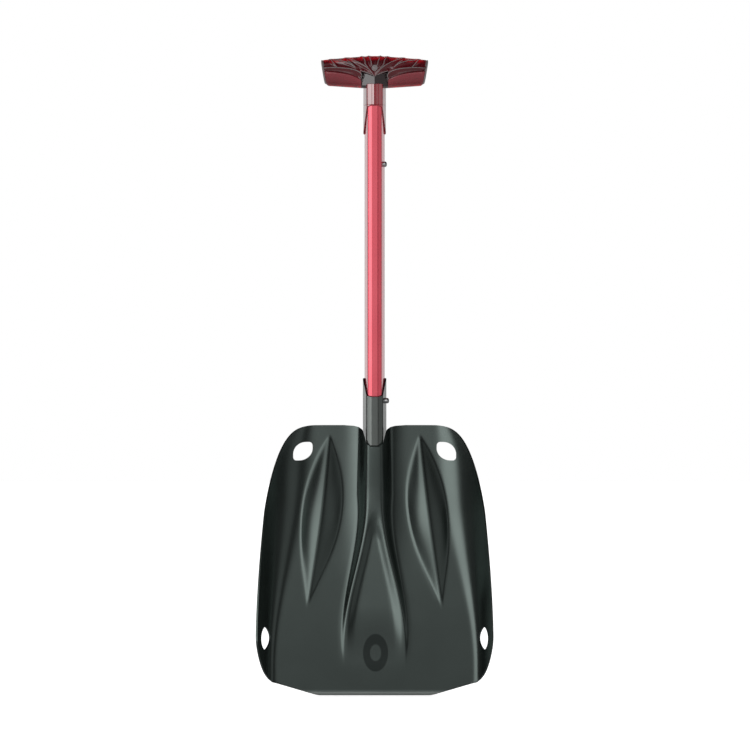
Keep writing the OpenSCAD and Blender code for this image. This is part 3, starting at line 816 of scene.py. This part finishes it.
# Raised lines on the left half of the grip: distance from the middle, height below the grip's top.
RIDGES = [
    [(-47, 4.5), (-44, 8), (-40, 13)],
    [(-54, 14), (-43.5, 13.4), (-30.5, 14.2), (-22, 15.8), (-16, 18.5), (-13.6, 22), (-15, 26)],
    [(-45, 5), (-35, 6.2), (-27, 8.6), (-20, 13.3)],
    [(-31, 2.6), (-23, 5.3), (-14.5, 9.2), (-7.5, 14), (-3, 19), (-0.6, 23)],
    [(-29.5, 5.5), (-25, 8.6), (-20.5, 13)],
    [(-14, 0.6), (-10.8, 5), (-9.6, 9.8), (-7.2, 13.4)],
    [(-6.4, 0), (-4.2, 5.6), (-2.9, 11)],
    [(-13.8, 17.2), (-7, 19.2), (-2.4, 21.4)],
]
BAND_STEP, PANEL_D = 0.5, 1.2      # how far the skin lies back above the band, and the panels again
# top edge of the lower band that the palm rests on
BAND = [(-58, 17.2), (-43, 18.8), (-31, 20.8), (-22, 23.6), (-15, 27), (-8, 31)]


def spline(points, steps=6):
    """A smooth line through points."""
    p = np.array([2 * np.array(points[0]) - points[1], *points, 2 * np.array(points[-1]) - points[-2]], float)
    out = []
    for a, b, c, d in zip(p, p[1:], p[2:], p[3:]):
        for t in np.linspace(0, 1, steps, endpoint=False):
            out.append(0.5 * (2 * b + (c - a) * t + (2 * a - 5 * b + 4 * c - d) * t**2
                              + (3 * b - a - 3 * c + d) * t**3))
    return np.array(out + [p[-2]])


RIDGE_LINES = [spline(r) for r in RIDGES]
BAND_LINE = spline(BAND)


def from_line(x, down, line):
    """Distance of many points from a broken line."""
    best = np.full(x.shape, 1e9)
    for (ax, az), (bx, bz) in zip(line, line[1:]):
        dx, dz = bx - ax, bz - az
        t = np.clip(((x - ax) * dx + (down - az) * dz) / (dx * dx + dz * dz), 0, 1)
        best = np.minimum(best, np.hypot(x - ax - t * dx, down - az - t * dz))
    return best


def grip_inset(x, z):
    """How far the grip's skin lies back: scooped panels between the ridges, above the palm's band."""
    x, down = -np.abs(x), GRIP_TOP - z
    ridge = np.min([from_line(x, down, line) for line in RIDGE_LINES], axis=0)
    above = smooth_step((np.interp(x, BAND_LINE[:, 0], BAND_LINE[:, 1]) - down) / 1.2)
    panel = smooth_step((ridge - 0.5) / 2.6)
    return above * (BAND_STEP + PANEL_D * panel)


def grip_bar(x):
    """Top, bottom and depth forward of the shaft's axis of the smooth bar, at distances from its middle."""
    out = np.abs(x)
    top = GRIP_TOP - TOP_DROP * (out / EDGE_SPAN) ** TOP_CURVE
    low = GRIP_BOTTOM + LOW_RISE * (out / EDGE_SPAN) ** LOW_CURVE
    return top, low, GRIP_DEEP - DEEP_DROP * (out / DEEP_SPAN) ** 1.5


def grip_section(x, steps, shrink=0.0):
    """Front half of the bar's section at many x: arrays of x, depth forward of the shaft's axis, height."""
    a = np.linspace(-math.pi / 2, math.pi / 2, steps)
    x = np.asarray(x, float)[:, None]
    top, low, deep = grip_bar(x)
    top, low, deep = top - shrink, low + shrink, deep - shrink
    near_end = smooth_step((np.abs(x) - SHELL_HALF_W + 3) / 3) ** 2
    end = 1 - np.where(a < 0, 0.09, 0.02) * near_end
    tall = (top - low) / 2 * end
    z = (top + low) / 2 + tall * np.sign(a) * np.abs(np.sin(a)) ** (2 / GRIP_POWER)
    y = deep * end * np.abs(np.cos(a)) ** (2 / GRIP_POWER)
    x = x * (1 - 0.09 * (GRIP_TOP - 5 - z) / 30) * np.ones_like(z)
    return x, y, z


def grip_skin(x):
    """The section with its panels pressed in along the skin's normal."""
    gx, gy, gz = grip_section(x, 90)
    ny, nz = np.gradient(gz, axis=1), -np.gradient(gy, axis=1)
    length = np.hypot(ny, nz) + 1e-9
    inset = grip_inset(gx, gz)
    near_seam = smooth_step(gy / 1.5)
    gy = np.maximum(0, gy - inset * ny / length * near_seam)
    gz = gz - inset * nz / length * (0.5 + 0.5 * near_seam)
    across, down = np.abs(gx), GRIP_TOP - gz
    facet = FACET_DEEP - FACET_LEAN * across
    starts = np.interp(across, [0, 2.4, 7, 13.8], [22.3, 21.2, 19.2, 17.4])
    share = smooth_step(FACET_HALF_W - across) * smooth_step((down - starts) / 1.2)
    share = share * smooth_step((gz - GRIP_BOTTOM - 0.8) / 2.2)
    gy = gy + share * (facet - gy)
    return gx, gy, gz


def grip_shell(name, half, node):
    stations = np.linspace(-SHELL_HALF_W, SHELL_HALF_W, 223)
    gx, gy, gz = grip_skin(stations)
    rings = np.stack([gx, SHAFT_Y + half * (0.05 + gy), gz], -1)
    piece = add_closed(name, *loft(list(rings)), PANEL_PLASTIC, 60)
    neck = bar_piece("cutter", COLLAR_OUT + 0.1, SOCKET_R, 610, NECK_TOP + 0.1, PANEL_PLASTIC)
    stem = bar_piece("cutter", UPPER_OUT + 0.1, UPPER_R, 620, upper_high[2] + 0.1, PANEL_PLASTIC)
    apply_cut(piece, [neck, stem], 60)
    return join_piece(piece, "upper_shaft_body", "grip_panel_plastic", node)


def surface_y(x, z):
    """Depth of the grip's smooth skin forward of the shaft's axis at points on its front."""
    top, low, deep = grip_bar(x)
    s = np.clip(np.abs((z - (top + low) / 2) / ((top - low) / 2)), 0, 1) ** (GRIP_POWER / 2)
    return deep * (1 - s**2) ** (1 / GRIP_POWER)


RIDGE_R, RIDGE_SUNK, RIDGE_LOWER = 0.42, 0.55, 0.3


def ridge_tubes(name, half):
    """Half-sunk round beads along the raised lines, on both sides of the middle."""
    points, faces = [], []
    for line in RIDGE_LINES:
        for side in (1, -1):
            rings = []
            for i, (x, down) in enumerate(line):
                z = GRIP_TOP - down - RIDGE_LOWER
                r = RIDGE_R * (0.45 + 0.55 * math.sin(math.pi * (i + 0.5) / len(line)) ** 0.5)
                y = max(0.3, float(surface_y(x, min(z, GRIP_TOP - 0.4))) - RIDGE_SUNK)
                before, after = line[max(0, i - 1)], line[min(len(line) - 1, i + 1)]
                d = np.array([after[0] - before[0], before[1] - after[1]])
                d /= np.linalg.norm(d)
                ring = []
                for a in np.linspace(0, 2 * math.pi, 10, endpoint=False):
                    across = r * math.cos(a)
                    depth = SHAFT_Y + half * (y + r * math.sin(a))
                    ring.append((side * (x - d[1] * across), depth, z + d[0] * across))
                rings.append(ring)
            p, f = loft(rings)
            f = outward_faces(p, f)
            faces += [tuple(i + sum(map(len, points)) for i in face) for face in f]
            points.append(p)
    piece = add_mesh(name, np.concatenate(points), faces, TRIM_PLASTIC, 60)
    return join_piece(piece, "upper_shaft_body", "grip_trim_plastic")


grip_shell("grip_front", -1, "grip_front_shell")
grip_shell("grip_back", 1, "grip_rear_shell")
ridge_tubes("grip_front_ridges", -1)
ridge_tubes("grip_back_ridges", 1)


# a cap's profile: distance out from the shells' end, and how much smaller its section is there
CAP_PROFILE = [(-0.8, 1.2), (0.0, 1.2), (0.15, 0.6), (0.7, 0.55), (1.3, 1.0), (1.7, 2.2), (1.9, 4.5),
               (2.0, 8.5)]


def cap_piece(name, side, node):
    """A domed end cap with a rounded rim, in the grip's own section."""
    out = SHELL_HALF_W + 0.1
    rings = []
    for along, shrink in CAP_PROFILE:
        gx, gy, gz = grip_section([out], 40, shrink)
        front = np.stack([side * (gx[0] + along), SHAFT_Y - gy[0], gz[0]], -1)
        back = np.stack([side * (gx[0] + along), SHAFT_Y + gy[0], gz[0]], -1)[::-1]
        rings.append(np.concatenate([front, back[1:-1]]))
    piece = add_closed(name, *loft(rings), TRIM_PLASTIC, 50)
    return join_piece(piece, "upper_shaft_body", "grip_trim_plastic", node)


cap_piece("grip_cap_left", -1, "grip_left_cap")
cap_piece("grip_cap_right", 1, "grip_right_cap")

collar = tube_piece("collar", COLLAR_OUT, SLIDE_GAP, SOCKET_R, ARMS_Z, COLLAR_Z, CORE_PLASTIC)
apply_cut(collar, [slant_cutter(COLLAR_OUT, COLLAR_Z, ARMS_Z - COLLAR_Z - 0.5, False)], 40)
join_piece(collar, "upper_shaft_body", "grip_core_plastic")


KEEL_H, KEEL_X = 0.7, -0.7


def keeled(by, z):
    """The neck's outline: the tube's, with its front flat folded forward near the middle."""
    ring = [tuple(p) for p in section(by, SOCKET_R, z)]
    following = ring[1:] + ring[:1]
    at = next(i for i, (here, on) in enumerate(zip(ring, following))
              if here[1] < SHAFT_Y and here[0] < 0 <= on[0])
    return [*ring[:at + 1], (KEEL_X, ring[at][1] - KEEL_H, z), *ring[at + 1:]]


neck_rings = [keeled(COLLAR_OUT - 0.3, COLLAR_Z), keeled(COLLAR_OUT, COLLAR_Z + 0.3),
              keeled(COLLAR_OUT, NECK_TOP - 0.3), keeled(COLLAR_OUT - 0.3, NECK_TOP)]
neck = add_closed("neck", *loft(neck_rings), CORE_PLASTIC, 16)
apply_cut(neck, [bar_piece("cutter", UPPER_OUT, UPPER_R, COLLAR_Z - 5, upper_high[2], CORE_PLASTIC)], 16)
join_piece(neck, "upper_shaft_body", "grip_core_plastic", "grip_core")


def boss(name, half):
    """A plain round boss in a shallow ring."""
    y = BOSS_DEEP
    profile = [(y - 2.5, 0.01), (y - 2.5, BOSS_R), (y - 0.1, BOSS_R), (y + 0.1, BOSS_R - 0.2),
               (y + 0.1, BOSS_R - 0.9), (y - 0.2, BOSS_R - 1.1), (y - 0.2, BOSS_R - 1.3), (y, 1.2),
               (y + 0.05, 0.01)]
    place = Matrix.Translation((0, SHAFT_Y, GRIP_TOP - BOSS_DOWN)) @ Matrix.Rotation(half * math.pi / 2, 4, "Z")
    return add_closed(name, *lathe(profile, place), TRIM_PLASTIC, 40)


join_piece(boss("grip_boss", -1), "upper_shaft_body", "grip_trim_plastic", "grip_badge")

# ---- camera, lights, floor ----
DISTANCE = 6000
SENSOR_W = 36
PICTURE_W = 750
SCALE = 1.06                     # millimetres of object per point of the picture, at the middle of its depth
MIDDLE_Y = 24
bpy.context.scene.view_settings.view_transform = "Standard"

camera_data = bpy.data.cameras.new("camera")
camera_data.sensor_width = SENSOR_W
camera_data.lens = SENSOR_W * (DISTANCE + MIDDLE_Y) / (PICTURE_W * SCALE)
camera_data.clip_end = 100
camera = bpy.data.objects.new("camera", camera_data)
camera.location = (0.4 * MM, -DISTANCE * MM, (GRIP_TOP / 2 - 1) * MM)
camera.rotation_euler = (math.pi / 2, 0, 0)
bpy.context.scene.collection.objects.link(camera)
bpy.context.scene.camera = camera

world = bpy.data.worlds.new("studio")
bpy.context.scene.world = world
world.use_nodes = True
sky, wire = world.node_tree.nodes, world.node_tree.links

sky_math = partial(shader_math, sky, wire)
sky_mix = partial(mix_colours, sky, wire)


def sky_ramp(value, stops):
    node = sky.new("ShaderNodeValToRGB")
    node.color_ramp.interpolation = "EASE"
    while len(node.color_ramp.elements) < len(stops):
        node.color_ramp.elements.new(0.5)
    for element, (place, grey) in zip(node.color_ramp.elements, stops):
        element.position = place
        element.color = (grey, grey, grey, 1)
    wire.new(value, node.inputs["Fac"])
    return node.outputs["Color"]


# What the metal reflects: a softbox at the front left, a dim studio in front, a white backdrop behind.
# Turn 0 is straight at the front, positive to the left, in degrees; the second number is the brightness.
AROUND = [(-180, 0.30), (-155, 0.30), (-130, 0.03), (-75, 0.02), (-54, 0.17), (-42, 0.17), (-32, 0.03),
          (-23, 0.03), (-14, 0.14), (-5, 0.30), (6, 0.33), (22, 1.0), (47, 1.0), (60, 0.04), (130, 0.03),
          (155, 0.36), (180, 0.36)]
# the same below the horizon, where a reflector stands at the left
AROUND_LOW = [(-180, 0.30), (-150, 0.30), (-120, 0.05), (-20, 0.20), (-6, 0.55), (1, 0.68), (6, 0.95),
              (47, 0.95), (60, 0.06), (130, 0.05), (155, 0.36), (180, 0.36)]
# the same well above the horizon, where the backdrop ends
AROUND_HIGH = [(-180, 0.03), (-75, 0.02), (-54, 0.17), (-42, 0.17), (-32, 0.03), (-23, 0.03),
               (-14, 0.10), (-5, 0.20), (6, 0.23), (22, 1.0), (47, 1.0), (60, 0.04), (180, 0.03)]
# how it falls off from floor to ceiling
UPWARDS = [(0.0, 0.3), (0.25, 0.9), (0.5, 1.0), (0.6, 0.95), (0.735, 0.64), (0.85, 0.2), (1.0, 0.05)]
STUDIO_GAIN = 1.7
LOW_FADE, HIGH_FADE = (0.08, 0.22), (0.24, 0.45)     # how far off the horizon the other tiers fade in


def turn_ramp(share, table):
    """Brightness round the studio from a table of turns in degrees."""
    return sky_ramp(share, [((a + 180) / 360, grey) for a, grey in table])


direction = sky.new("ShaderNodeTexCoord")
parts = sky.new("ShaderNodeSeparateXYZ")
wire.new(direction.outputs["Generated"], parts.inputs[0])
to_left, to_front = (sky_math("MULTIPLY", parts.outputs[axis], -1) for axis in "XY")
share_round = sky_math("ADD", sky_math("DIVIDE", sky_math("ARCTAN2", to_left, to_front), 2 * math.pi), 0.5)
around = turn_ramp(share_round, AROUND)
for table, way, (start, end) in ((AROUND_LOW, -1, LOW_FADE), (AROUND_HIGH, 1, HIGH_FADE)):
    share = sky_ramp(sky_math("MULTIPLY", parts.outputs["Z"], way), [(start, 0.0), (end, 1.0)])
    around = sky_mix(share, around, turn_ramp(share_round, table))
height = sky_math("ADD", sky_math("MULTIPLY", parts.outputs["Z"], 0.5), 0.5)
studio = sky_mix(1, around, sky_ramp(height, UPWARDS), "MULTIPLY")
gain = sky.new("ShaderNodeVectorMath")
gain.operation = "SCALE"
gain.inputs["Scale"].default_value = STUDIO_GAIN
wire.new(studio, gain.inputs[0])
ray = sky.new("ShaderNodeLightPath")
plain = sky_mix(ray.outputs["Is Glossy Ray"], (0.85,) * 3, gain.outputs[0])
backdrop = sky_mix(ray.outputs["Is Camera Ray"], plain, (1.0,) * 3)
wire.new(backdrop, sky["Background"].inputs["Color"])

floor_mesh = bpy.data.meshes.new("floor")
floor_mesh.from_pydata([(-12, -12, 0), (12, -12, 0), (12, 12, 0), (-12, 12, 0)], [], [(0, 1, 2, 3)])
floor = bpy.data.objects.new("floor", floor_mesh)
floor.location = (0, 0, cad_low[2] - 0.002)
bpy.context.scene.collection.objects.link(floor)
floor_material, floor_nodes, floor_links, floor_shader = new_material("floor")
# the floor is pale and glows faintly, but the metal doesn't mirror that
glossy = floor_nodes.new("ShaderNodeLightPath").outputs["Is Glossy Ray"]
floor_tone = mix_colours(floor_nodes, floor_links, glossy, (0.9,) * 3, (0.2,) * 3)
floor_links.new(floor_tone, floor_shader.inputs["Base Color"])
floor_glow = mix_colours(floor_nodes, floor_links, glossy, (1.0,) * 3, (0.0,) * 3)
floor_links.new(floor_glow, floor_shader.inputs["Emission Color"])
floor_shader.inputs["Roughness"].default_value = 0.8
floor_shader.inputs["Emission Strength"].default_value = 0.6
floor_mesh.materials.append(floor_material)

# ---- materials for the CAD nodes that stay ----
CARRIED = {"socket_rivets": BLADE_ALLOY, "socket_plug": BLACK_PLASTIC, "lower_shaft_plug": BLACK_PLASTIC,
           "shaft_bush": BLACK_PLASTIC, "upper_shaft_glide": BLACK_PLASTIC, "grip_rivet": RIVET_ALLOY}
for node, material in CARRIED.items():
    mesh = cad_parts[node].data
    for i in range(len(mesh.materials)):
        mesh.materials[i] = material
